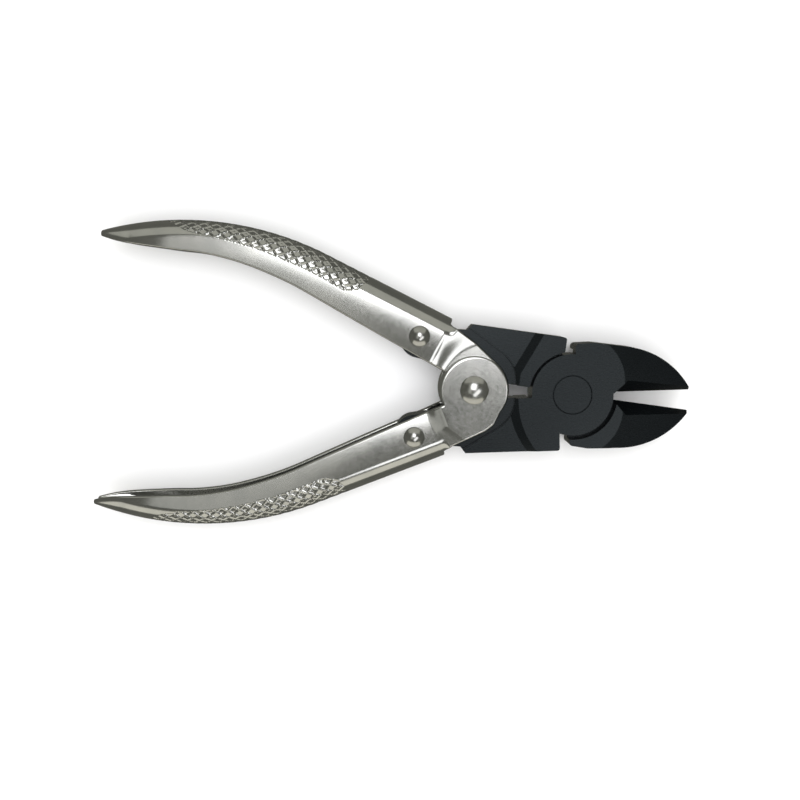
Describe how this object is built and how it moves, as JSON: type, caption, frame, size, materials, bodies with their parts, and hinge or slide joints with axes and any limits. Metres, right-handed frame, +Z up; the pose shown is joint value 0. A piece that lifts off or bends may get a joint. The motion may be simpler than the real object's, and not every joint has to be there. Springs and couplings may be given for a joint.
{
  "type": "sprue nippers",
  "caption": "Compound-leverage side cutter for plastic sprues, with pressed channel handles, knurled grips and black lapped jaws.",
  "frame": {"origin": "on the surface that the tool lies on, below the middle of its overall length, on its centre line, with the jaws open", "axes": "+X along the tool to the blade tips, +Y towards the upper handle, +Z up, along all the pivots"},
  "size_m": [0.16, 0.0822, 0.0163],
  "materials": {
    "handle_steel": "satin pressed sheet, brushed along its length",
    "rivet_steel": "polished dome",
    "spacer_steel": "turned",
    "black_steel": "satin black oxide",
    "pin_steel": "black oxide, ground flush"
  },
  "bodies": {
    "lower_handle": {"lower_handle": "handle_steel", "handle_rivet": "rivet_steel", "pivot_spacer": "spacer_steel", "lower_tail_rivet": "rivet_steel"},
    "upper_handle": {"upper_handle": "handle_steel", "upper_tail_rivet": "rivet_steel"},
    "upper_jaw": {"upper_jaw": "black_steel", "jaw_pivot_pin": "pin_steel"},
    "lower_jaw": {"lower_jaw": "black_steel"}
  },
  "joints": [
    {"name": "handle_squeeze", "type": "hinge", "parent": "lower_handle", "child": "upper_handle", "pos_m": [0.0216, 0, 0.00815], "axis": [0, 0, 1], "range_deg": [0, 24.63]},
    {"name": "tail_pivot", "type": "hinge", "parent": "lower_handle", "child": "upper_jaw", "pos_m": [0.0063, -0.0135, 0.00815], "axis": [0, 0, 1], "range_deg": [0, 7.5]},
    {"name": "jaw_pivot", "type": "hinge", "parent": "upper_jaw", "child": "lower_jaw", "pos_m": [0.048, 0, 0.00815], "axis": [0, 0, 1], "range_deg": [0, 9.65]}
  ],
  "couplings": [
    {"joint": "tail_pivot", "follows": "handle_squeeze", "ratio": 0.3043},
    {"joint": "jaw_pivot", "follows": "handle_squeeze", "ratio": 0.3914}
  ]
}
